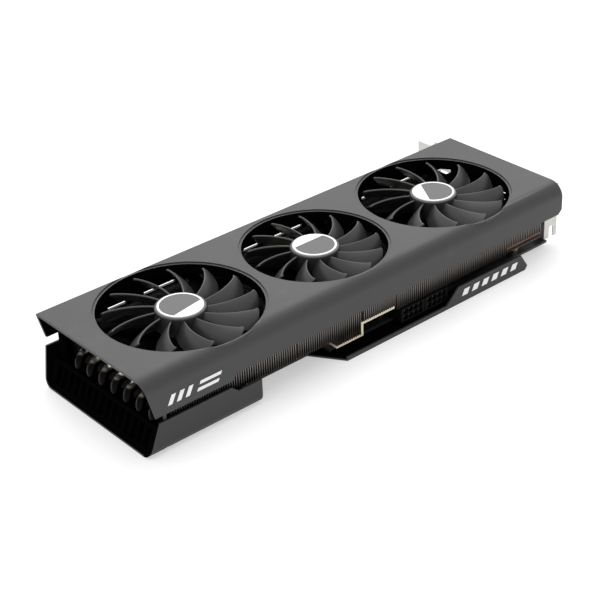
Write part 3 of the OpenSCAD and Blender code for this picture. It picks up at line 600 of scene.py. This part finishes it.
FINISHES: dict[str, Finish] = {
    "shroud_paint": PowderCoat((0.034, 0.034, 0.035), 0.52),
    "backplate_paint": PowderCoat((0.018, 0.018, 0.019), 0.5),
    "pale_mark": PrintedMark((0.86, 0.86, 0.85), 0.5),
    "fan_plastic": MouldedPlastic((0.030, 0.030, 0.031), 0.38, gloss=0.6),
    "frame_plastic": MouldedPlastic((0.003, 0.003, 0.003), 0.7, gloss=0.04),
    "badge_metal": SpunMetal((0.80, 0.80, 0.81), 0.42),
    "magnet": Ferrite((0.05, 0.05, 0.05), 0.6, 0.6, 0.5),
    "shaft_steel": SpunMetal((0.6, 0.6, 0.6), 0.2),
    "bearing_brass": SpunMetal((0.62, 0.45, 0.2), 0.45),
    "stator_steel": BrushedSheet((0.3, 0.31, 0.33), 0.45, (1.0, 1.0, 0.1)),
    "copper_wire": Copper((0.55, 0.24, 0.1), 0.35),
    "screw_steel": SpunMetal((0.5, 0.5, 0.5), 0.35),
    # The fin sheet's upper part on the open side is a pale painted highlight.
    "fin_metal": FinSheet((0.022, 0.021, 0.020), 0.5),
    # The pipes wear painted shade underneath and at the tail bends, with a pale painted highlight on the
    # bends' tops.
    "pipe_copper": PaintedShadePipe((0.40, 0.22, 0.14), 0.26),
    "cold_plate_metal": BrushedSheet((0.6, 0.58, 0.55), 0.32),
    "mid_plate_metal": BrushedSheet((0.72, 0.64, 0.5), 0.4, (0.05, 1.0, 1.0)),
    "board_laminate": SolderMask((0.012, 0.014, 0.015), 0.4),
    "package_laminate": SolderMask((0.02, 0.07, 0.035), 0.4, (0.03, 0.1, 0.05)),
    "die_glass": SpunMetal((0.12, 0.12, 0.15), 0.1),
    "chip_resin": Ferrite((0.02, 0.02, 0.021), 0.55, 0.3),
    "ferrite": Ferrite((0.09, 0.09, 0.09), 0.6),
    "can_aluminium": BrushedSheet((0.7, 0.7, 0.7), 0.35, (1.0, 1.0, 0.1)),
    "pad_rubber": Ferrite((0.36, 0.42, 0.5), 0.8, 0.8),
    "header_nylon": MouldedPlastic((0.7, 0.67, 0.58), 0.5),
    "socket_nylon": MouldedPlastic((0.003, 0.003, 0.003), 0.65, gloss=0.08),
    "gold_plate": BrushedSheet((0.85, 0.6, 0.24), 0.25, (1.0, 0.08, 1.0), 0.15),
    # Near-black painted shade, worn by the power pins in place of their metal.
    "pins_painted_shade": BrushedSheet((0.05, 0.05, 0.05), 0.5, (1.0, 0.08, 1.0), 0.15),
    "port_steel": BrushedSheet((0.62, 0.62, 0.62), 0.3, (0.08, 1.0, 1.0)),
    "spring_steel": BrushedSheet((0.45, 0.45, 0.46), 0.35, (0.2, 0.2, 1.0)),
    "bracket_steel": BrushedSheet((0.60, 0.59, 0.57), 0.5, (1.0, 0.06, 1.0)),
    # Near-black painted shade for the inner faces of the shroud and tray.
    "inside_painted_shade": MouldedPlastic((0.002, 0.002, 0.002), 0.8, gloss=0.0),
    # Pale painted highlight on the shroud's tail edge.
    "edge_painted_highlight": PowderCoat((0.42, 0.42, 0.42), 0.4),
    "badge_disc": PrintedMark((0.105, 0.105, 0.105), 0.55),
    "badge_ring": PrintedMark((0.93, 0.93, 0.93), 0.42),
}


# ---------------------------------------------------------------- mesh helpers


def new_piece(name: str, shape: bmesh.types.BMesh, flat_angle: float = 35.0) -> bpy.types.Object:
    """Turns a finished bmesh into a linked object at the origin.

    Args:
        name: the piece's name.
        shape: the bmesh, in metres, in the row frame. It is freed.
        flat_angle: the edge angle, in degrees, above which shading breaks.

    Returns:
        The new object.
    """
    mesh = bpy.data.meshes.new(name)
    shape.to_mesh(mesh)
    shape.free()
    for face in mesh.polygons:
        face.use_smooth = True
    mesh.set_sharp_from_angle(angle=math.radians(flat_angle))
    made = bpy.data.objects.new(name, mesh)
    bpy.context.scene.collection.objects.link(made)
    weighted = made.modifiers.new("even_normals", "WEIGHTED_NORMAL")
    weighted.keep_sharp = True
    return made


def lathe(
    shape: bmesh.types.BMesh, profile: Iterable[tuple[float, float]], centre: Vector, steps: int = 72
) -> None:
    """Turns a profile of (radius, height) points into a solid of revolution.

    Args:
        shape: the bmesh that it is added to.
        profile: the points, in millimetres, heights in the row frame.
        centre: the axis, whose x and y are used.
        steps: how many steps the turn has.
    """
    verts = [shape.verts.new((centre.x + r * MM, centre.y, z * MM)) for r, z in profile]
    edges = [shape.edges.new(pair) for pair in zip(verts, verts[1:])]
    bmesh.ops.spin(
        shape,
        geom=verts + edges,
        cent=centre,
        axis=(0, 0, 1),
        angle=math.tau,
        steps=steps,
        use_merge=True,
        use_duplicate=False,
    )
    bmesh.ops.remove_doubles(shape, verts=shape.verts, dist=MERGE_MM * MM)


def rounded(corner: tuple[float, float], radius: float, start: float, end: float, steps: int = 4) -> list:
    """Points round a corner of a profile.

    Args:
        corner: the arc's centre as (radius, height), in millimetres.
        radius: the arc's radius.
        start: the first angle, in degrees.
        end: the last angle.
        steps: how many steps the arc has.

    Returns:
        The points, as (radius, height).
    """
    angles = (math.radians(start + (end - start) * i / steps) for i in range(steps + 1))
    return [(corner[0] + radius * math.cos(a), corner[1] + radius * math.sin(a)) for a in angles]


def closed_up(shape: bmesh.types.BMesh) -> None:
    """Merges doubles and points every face outwards."""
    bmesh.ops.remove_doubles(shape, verts=shape.verts, dist=MERGE_MM * MM)
    bmesh.ops.recalc_face_normals(shape, faces=shape.faces)


def soften(shape: bmesh.types.BMesh, width_mm: float, segments: int, from_angle: float = 28.0) -> None:
    """Bevels every edge sharper than an angle.

    Args:
        shape: the bmesh.
        width_mm: the bevel's width.
        segments: its segments.
        from_angle: the smallest edge angle that is bevelled, in degrees.
    """
    limit = math.radians(from_angle)
    sharp = [e for e in shape.edges if len(e.link_faces) == 2 and e.calc_face_angle(0.0) > limit]
    bmesh.ops.bevel(
        shape,
        geom=sharp,
        offset=width_mm * MM,
        offset_type="OFFSET",
        affect="EDGES",
        segments=segments,
        profile=0.5,
        material=-1,
        clamp_overlap=True,
    )


class Workshop:
    """Makes materials once, and dresses and registers each piece."""

    def __init__(self, loaded: dict) -> None:
        """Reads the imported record's slots.
        """
        self.nodes: dict[str, bpy.types.Object] = loaded["nodes"]
        self.slots = {s["node"]: s["material_slot"] for s in loaded["record"]["subparts"]}
        self.body = {n: b for b, names in loaded["record"]["behaviour"]["bodies"].items() for n in names}
        self.materials: dict[str, bpy.types.Material] = {}

    def material(self, name: str) -> bpy.types.Material:
        """The material of a finish, made the first time.

        Args:
            name: the finish's name in FINISHES.

        Returns:
            The material.
        """
        if name not in self.materials:
            self.materials[name] = FINISHES[name].make(name)
        return self.materials[name]

    def dress_frame(self) -> None:
        """Gives every CAD node its slot's material."""
        for name, node in self.nodes.items():
            made = self.material(self.slots[name])
            if not node.material_slots:
                node.data.materials.append(made)
            for place in node.material_slots:
                place.material = made

    def register(
        self,
        piece: bpy.types.Object,
        node: str,
        stands_for: Iterable[str] = (),
        material: str | None = None,
        more: Iterable[str] = (),
    ) -> bpy.types.Object:
        """Rides, slots and dresses a piece.

        Args:
            piece: the finished piece.
            node: the CAD node whose body and slot it shares.
            stands_for: the CAD nodes that it replaces.
            material: another material's name, where the piece doesn't use its slot's own.
            more: further materials, for faces with a material index above 0.

        Returns:
            The piece.
        """
        for name in (material or self.slots[node], *more):
            piece.data.materials.append(self.material(name))
        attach(piece, self.body[node])
        for name in stands_for:
            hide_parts(name)
        LOG.info("%s: %d faces on %s", piece.name, len(piece.data.polygons), self.body[node])
        return piece

    def refine(
        self,
        node: str,
        width_mm: float,
        segments: int = 2,
        from_angle: float = 28.0,
        zones: Sequence[Zone] = (),
        material: str | None = None,
    ) -> bpy.types.Object:
        """Rebuilds a CAD node's own shape with softened edges and smooth rounds.

        Args:
            node: the CAD node.
            width_mm: the width of its edges' bevel.
            segments: the bevel's segments.
            from_angle: the smallest edge angle that is bevelled, in degrees.
            zones: further materials and the faces that wear them.
            material: another material's name, where the piece doesn't use its slot's own.

        Returns:
            The piece that stands for the node.
        """
        shape = bmesh.new()
        shape.from_mesh(self.nodes[node].data)
        bmesh.ops.remove_doubles(shape, verts=shape.verts, dist=2e-6)
        bmesh.ops.dissolve_limit(
            shape,
            angle_limit=math.radians(FLAT_DEGREES),
            verts=shape.verts,
            edges=shape.edges,
            use_dissolve_boundaries=False,
        )
        if width_mm > 0:
            soften(shape, width_mm, segments, from_angle)
        for index, (_, wears) in enumerate(zones, 1):
            for face in shape.faces:
                if wears(face):
                    face.material_index = index
        piece = new_piece(node + "_fine", shape)
        return self.register(piece, node, [node], material, [name for name, _ in zones])


# ---------------------------------------------------------------- the card's parts


class FanPlace(Enum):
    """Where a fan sits: its nodes' ending, its blades' turn and its badge's turn, in degrees."""

    TAIL = ("tail", -6.0, -80.7)
    MIDDLE = ("middle", -6.7, 89.9)
    BRACKET = ("bracket", 9.2, 150.2)

    def __init__(self, ending: str, blade_turn: float, badge_turn: float) -> None:
        """Keeps the three facts by name."""
        self.ending = ending
        self.blade_turn = blade_turn
        self.badge_turn = badge_turn


@dataclass
class Fan:
    """One fan: a rotor with swept blades and a two-tone hub badge. Sizes in millimetres."""

    shop: Workshop
    place: FanPlace
    blades: int = 13
    sweep: float = 15.0
    root_chord: float = 19.0
    tip_chord: float = 10.5
    root_drop: float = 9.6
    tip_drop: float = 8.4
    thickness: float = 1.2
    edge: float = 0.42
    ring_width: float = 1.35
    chord_offset: float = 5.5

    def __post_init__(self) -> None:
        """Reads the fan's place and radii from its CAD nodes."""
        low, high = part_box(f"hub_badge_{self.place.ending}")
        self.centre = Vector(((low.x + high.x) / 2, (low.y + high.y) / 2, 0.0))
        self.badge_r = (high.x - low.x) / 2 / MM
        self.badge_low, self.badge_top = low.z / MM, high.z / MM
        low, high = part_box(f"fan_rotor_{self.place.ending}")
        self.floor, self.hub_top = low.z / MM, high.z / MM
        reach = max(
            math.hypot(v.co.x - self.centre.x, v.co.y - self.centre.y)
            for v in self.shop.nodes[f"fan_rotor_{self.place.ending}"].data.vertices
        )
        self.tip_r = reach / MM
        self.hub_r = self.badge_r + 1.7

    def blade_point(self, t: float, u: float) -> Point:
        """A point on the blade's middle surface.

        Args:
            t: 0 at the hub, 1 at the tip.
            u: 0 at the leading edge, 1 at the trailing edge.

        Returns:
            The point, in metres, before the blade is turned to its place.
        """
        radius = self.hub_r - 0.6 + (self.tip_r - 0.25 - self.hub_r + 0.6) * t
        chord = self.root_chord + (self.tip_chord - self.root_chord) * t
        angle = math.radians(self.sweep * t**1.4 - chord * u)
        fall = (self.root_drop + (self.tip_drop - self.root_drop) * t) * (u - 0.35 * u * (1 - u))
        height = self.badge_low - 2.0 + (self.badge_top - 1.6 - self.badge_low + 2.0) * t - fall
        corner = max(0.0, t - 0.86) / 0.14
        radius -= 1.6 * corner**2 * (abs(2 * u - 1) ** 4)
        return (
            self.centre.x + radius * math.cos(angle) * MM,
            self.centre.y + radius * math.sin(angle) * MM,
            height * MM,
        )

    def add_blades(self, shape: bmesh.types.BMesh) -> None:
        """Adds the ring of blades: one grid bent to shape, given its thickness and repeated.

        Args:
            shape: the bmesh that they are added to.
        """
        blade = bmesh.new()
        bmesh.ops.create_grid(blade, x_segments=18, y_segments=8, size=0.5)
        for vert in blade.verts:
            vert.co = Vector(self.blade_point(vert.co.x + 0.5, vert.co.y + 0.5))
        bmesh.ops.recalc_face_normals(blade, faces=blade.faces)
        bmesh.ops.solidify(blade, geom=blade.faces[:], thickness=self.thickness * MM)
        bmesh.ops.recalc_face_normals(blade, faces=blade.faces)
        soften(blade, self.edge, 3, 50.0)
        bmesh.ops.rotate(
            blade,
            verts=blade.verts,
            cent=self.centre,
            matrix=Matrix.Rotation(math.radians(self.place.blade_turn), 3, "Z"),
        )
        bmesh.ops.spin(
            blade,
            geom=blade.verts[:] + blade.edges[:] + blade.faces[:],
            cent=self.centre,
            axis=(0, 0, 1),
            angle=math.tau * (self.blades - 1) / self.blades,
            steps=self.blades - 1,
            use_duplicate=True,
            use_merge=False,
        )
        carried = bpy.data.meshes.new("blades")
        blade.to_mesh(carried)
        blade.free()
        shape.from_mesh(carried)
        bpy.data.meshes.remove(carried)

    def build_rotor(self) -> None:
        """Builds the hub cup and its blades."""
        shape = bmesh.new()
        top, wall = self.badge_low, 1.6
        outline = [(0.0, top - 2.0), (self.hub_r - wall, top - 2.0), (self.hub_r - wall, self.floor)]
        outline += [(self.hub_r - 0.3, self.floor), (self.hub_r, self.floor + 0.3)]
        outline += rounded((self.hub_r - 1.1, top - 1.1), 1.1, 0, 90, 5)
        outline += [(self.badge_r + 0.15, top), (self.badge_r + 0.1, top - 0.15), (0.0, top - 0.15)]
        lathe(shape, outline, self.centre)
        closed_up(shape)
        self.add_blades(shape)
        node = f"fan_rotor_{self.place.ending}"
        self.shop.register(new_piece(f"rotor_{self.place.ending}", shape, 48.0), node, [node])

    def build_badge(self) -> None:
        """Builds the grey disc, and the pale ring with its pale segment."""
        node = f"hub_badge_{self.place.ending}"
        base, top = self.badge_low - 0.15, self.badge_top
        inner = self.badge_r - self.ring_width
        disc = bmesh.new()
        rim = inner + 0.1
        lathe(disc, [(0.0, base), (rim, base), (rim, top - 0.22), (0.0, top - 0.18)], self.centre)
        closed_up(disc)
        self.shop.register(new_piece(f"badge_disc_{self.place.ending}", disc), node, [node], "badge_disc")
        ring = bmesh.new()
        outline = [(inner, base), (self.badge_r, base), (self.badge_r, top - 0.25)]
        outline += [(self.badge_r - 0.25, top), (inner + 0.12, top), (inner, top - 0.12), (inner, base)]
        lathe(ring, outline, self.centre, 96)
        segment = bmesh.new()
        bmesh.ops.create_circle(segment, cap_ends=True, radius=(inner + 0.05) * MM, segments=96)
        across = math.radians(self.place.badge_turn)
        side = Vector((math.cos(across), math.sin(across), 0.0))
        bmesh.ops.bisect_plane(
            segment,
            geom=segment.verts[:] + segment.edges[:] + segment.faces[:],
            plane_co=side * self.chord_offset * MM,
            plane_no=side,
            clear_inner=True,
        )
        bmesh.ops.translate(segment, verts=segment.verts, vec=self.centre + Vector((0, 0, base * MM)))
        grown = bmesh.ops.extrude_face_region(segment, geom=segment.faces[:])
        raised = [g for g in grown["geom"] if isinstance(g, bmesh.types.BMVert)]
        bmesh.ops.translate(segment, verts=raised, vec=(0, 0, (top - 0.06 - base) * MM))
        carried = bpy.data.meshes.new("segment")
        bmesh.ops.recalc_face_normals(segment, faces=segment.faces)
        segment.to_mesh(carried)
        segment.free()
        closed_up(ring)
        ring.from_mesh(carried)
        bpy.data.meshes.remove(carried)
        self.shop.register(new_piece(f"badge_ring_{self.place.ending}", ring), node, (), "badge_ring")

    def build(self) -> None:
        """Builds the fan's pieces."""
        self.build_rotor()
        self.build_badge()


@dataclass
class Casing:
    """The shroud, the backplate with its tray and tab, and the pale bars. Sizes in millimetres."""

    shop: Workshop
    shroud_edge: float = 0.35
    plate_edge: float = 0.3
    bar_edge: float = 0.1
    roll_mm: float = 10.0
    wall_mm: float = 1.8
    plate_mm: float = 1.2
    edge_mm: float = 0.36

    def __post_init__(self) -> None:
        """Reads the shroud's outer box and its middle line."""
        self.low, self.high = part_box("shroud")
        self.middle = (self.low.y + self.high.y) / 2
        self.half = (self.high.y - self.low.y) / 2

    def inside_shroud(self, face: bmesh.types.BMFace) -> bool:
        """Whether a shroud face looks into the card.

        Args:
            face: the face.

        Returns:
            True for the inner side, which wears a near-black painted shade.
        """
        spot = face.calc_center_median()
        ends = abs(face.normal.x) > 0.7 and not self.low.x + MM < spot.x < self.high.x - 0.5 * MM
        across = abs(spot.y - self.middle)
        reach = self.roll_mm * MM
        roll = Vector((self.middle - spot.y - self.half + reach, spot.z - self.high.z + reach))
        rolled = min(roll) > 0 and roll.length > (self.roll_mm - 1.0) * MM
        wall = (self.wall_mm - 0.15) * MM
        inner = across < self.half - wall and spot.z < self.high.z - wall
        return inner and not ends and not rolled

    def tail_edge(self, face: bmesh.types.BMFace) -> bool:
        """Whether a shroud face is on the cut edge of its top at the tail, which wears a pale painted
        highlight.

        Args:
            face: the face.

        Returns:
            True on that edge.
        """
        spot = face.calc_center_median()
        flat = spot.y > self.low.y + self.roll_mm * MM
        return spot.x < self.low.x + 0.4 * MM and spot.z > self.high.z - self.edge_mm * MM and flat

    def inside_tray(self, face: bmesh.types.BMFace) -> bool:
        """Whether a backplate face looks into the card.

        Args:
            face: the face.

        Returns:
            True for the plate's inner side, the grille and the posts, which wear a near-black painted shade.
        """
        spot = face.calc_center_median()
        sheet = (self.plate_mm - 0.12) * MM
        ends = face.normal.x < -0.7 and spot.x < self.low.x + 1.0 * MM
        return abs(spot.y - self.middle) < self.half - sheet and spot.z > sheet and not ends

    def build(self) -> None:
        """Builds the folded metal pieces."""
        # The inner faces of the shroud and tray wear a near-black painted shade.
        inside = ("inside_painted_shade", self.inside_shroud)
        # The shroud's tail edge wears a pale painted highlight.
        self.shop.refine("shroud", self.shroud_edge, 3, 24.0, (inside, ("edge_painted_highlight", self.tail_edge)))
        self.shop.refine("backplate", self.plate_edge, 2, zones=(("inside_painted_shade", self.inside_tray),))
        for node in ("side_bars", "tab_bars"):
            self.shop.refine(node, self.bar_edge, 2)


@dataclass
class Cooler:
    """Heat pipes, cold plate and mid plate. The fin stacks keep their CAD shape. Sizes in millimetres."""

    shop: Workshop
    plate_edge: float = 0.25

    def build(self) -> None:
        """Builds the cooler's pieces."""
        self.shop.refine("heat_pipes", 0.5, 3, 60.0)
        self.shop.refine("cold_plate", self.plate_edge)
        self.shop.refine("mid_plate", self.plate_edge)


@dataclass
class Board:
    """The board with its parts and sockets. Sizes in millimetres."""

    shop: Workshop
    edges: tuple[tuple[str, float], ...] = (
        ("board", 0.2),
        ("processor_package", 0.12),
        ("processor_die", 0.08),
        ("memory_chips", 0.15),
        ("chokes", 0.4),
        ("power_stages", 0.12),
        ("capacitors", 0.4),
        ("fan_headers", 0.2),
        ("power_sockets", 0.25),
        ("display_sockets", 0.2),
        ("hdmi_socket", 0.2),
        ("port_tongues", 0.2),
        ("power_pins", 0.15),
        ("retention_spring", 0.2),
    )

    def build(self) -> None:
        """Builds each piece of the board."""
        for node, edge in self.edges:
            # The power pins wear a near-black painted shade instead of their slot's metal.
            self.shop.refine(node, edge, material="pins_painted_shade" if node == "power_pins" else None)


@dataclass
class Fixings:
    """The io bracket, the fan frames, bearings and all screws. Sizes in millimetres."""

    shop: Workshop
    bracket_edge: float = 0.2
    frame_edge: float = 0.3
    screw_edge: float = 0.2

    def build(self) -> None:
        """Builds the bracket, frames, bearings and screws."""
        self.shop.refine("io_bracket", self.bracket_edge)
        for place in FanPlace:
            self.shop.refine(f"fan_frame_{place.ending}", self.frame_edge)
            for kind in ("rotor_magnet", "fan_shaft", "fan_bearing", "fan_stator"):
                self.shop.refine(f"{kind}_{place.ending}", self.screw_edge)
        self.shop.refine("stator_coils", 0.5, 3)
        for node in ("fan_screws", "spring_screws", "board_screws", "tail_screws", "shroud_screws"):
            self.shop.refine(node, self.screw_edge)


# ---------------------------------------------------------------- studio


@dataclass
class Studio:
    """A pale floor, soft lights and the camera. Lengths in metres, angles in radians."""

    shift: Vector
    bearing: float = 0.7094
    elevation: float = 0.5196
    roll: float = -0.0331
    distance: float = 0.9588
    lens: float = 92.52
    shift_x: float = -0.0254
    shift_y: float = -0.0347
    aim: Point = (0.168, 0.0, 0.026)
    floor_tone: float = 0.6
    floor_glow: float = 0.45
    floor_gap: float = 0.0003
    surround: float = 0.75

    def build_camera(self) -> None:
        """Sets the camera."""
        side, rise = math.sin(self.bearing), math.cos(self.bearing)
        flat, drop = math.cos(self.elevation), math.sin(self.elevation)
        forward = Vector((side * flat, rise * flat, -drop))
        right = Vector((rise, -side, 0.0))
        up = right.cross(forward)
        turned_right = math.cos(self.roll) * right + math.sin(self.roll) * up
        turned_up = -math.sin(self.roll) * right + math.cos(self.roll) * up
        data = bpy.data.cameras.new("camera")
        data.lens, data.sensor_width = self.lens, 36.0
        data.shift_x, data.shift_y = self.shift_x, self.shift_y
        data.clip_start, data.clip_end = 0.05, 50.0
        camera = bpy.data.objects.new("camera", data)
        bpy.context.scene.collection.objects.link(camera)
        place = Matrix((turned_right, turned_up, -forward)).transposed().to_4x4()
        place.translation = Vector(self.aim) + self.shift - forward * self.distance
        camera.matrix_world = place
        bpy.context.scene.camera = camera

    def add_light(self, name: str, place: Point, aim: Point, size: tuple[float, float], power: float) -> None:
        """Adds one softbox.

        Args:
            name: the light's name.
            place: where it stands.
            aim: the point that it faces.
            size: its width and height.
            power: its power, in watts.
        """
        data = bpy.data.lights.new(name, "AREA")
        data.shape, data.size, data.size_y = "RECTANGLE", size[0], size[1]
        data.energy = power
        light = bpy.data.objects.new(name, data)
        bpy.context.scene.collection.objects.link(light)
        facing = (Vector(aim) - Vector(place)).to_track_quat("-Z", "Y")
        light.matrix_world = Matrix.Translation(place) @ facing.to_matrix().to_4x4()

    def build_floor(self) -> None:
        """Adds the floor, just under the card."""
        shape = bmesh.new()
        bmesh.ops.create_grid(shape, x_segments=1, y_segments=1, size=12.0)
        bmesh.ops.translate(shape, verts=shape.verts, vec=(0, 0, -self.floor_gap))
        mesh = bpy.data.meshes.new("floor")
        shape.to_mesh(mesh)
        shape.free()
        floor = bpy.data.objects.new("floor", mesh)
        bpy.context.scene.collection.objects.link(floor)
        sheet = Sheet("floor_paper")
        sheet.set(Base_Color=(self.floor_tone,) * 3, Roughness=0.9, Emission_Color=(1.0, 1.0, 1.0))
        sheet.surface.inputs["Emission Strength"].default_value = self.floor_glow
        floor.data.materials.append(sheet.material)

    def build_world(self) -> None:
        """Sets an even grey surround."""
        world = bpy.data.worlds.new("surround")
        world.use_nodes = True
        back = world.node_tree.nodes["Background"]
        back.inputs["Color"].default_value = (1.0, 1.0, 1.0, 1.0)
        back.inputs["Strength"].default_value = self.surround
        bpy.context.scene.world = world
        bpy.context.scene.view_settings.view_transform = "Standard"

    def build(self) -> None:
        """Builds the whole studio."""
        self.build_floor()
        self.build_world()
        self.add_light("overhead_back", (0.75, 0.85, 1.15), (0.05, 0.05, 0.0), (1.7, 1.2), 16.0)
        self.add_light("overhead", (-0.15, 0.1, 1.6), (0.0, 0.0, 0.0), (1.4, 1.4), 10.0)
        self.build_camera()


def main() -> None:
    """Builds every sub-assembly in order, then the studio."""
    logging.basicConfig(level=logging.INFO, format="%(name)s: %(message)s", force=True)
    shop = Workshop(frame)
    shop.dress_frame()
    low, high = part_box("shroud")
    plate_low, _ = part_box("backplate")
    shift = Vector((low.x, (low.y + high.y) / 2, plate_low.z))
    builders: list[Callable[[], None]] = [
        Casing(shop).build,
        *(Fan(shop, place).build for place in FanPlace),
        Cooler(shop).build,
        Board(shop).build,
        Fixings(shop).build,
        Studio(shift).build,
    ]
    for build in builders:
        build()


if __name__ == "__main__":
    main()
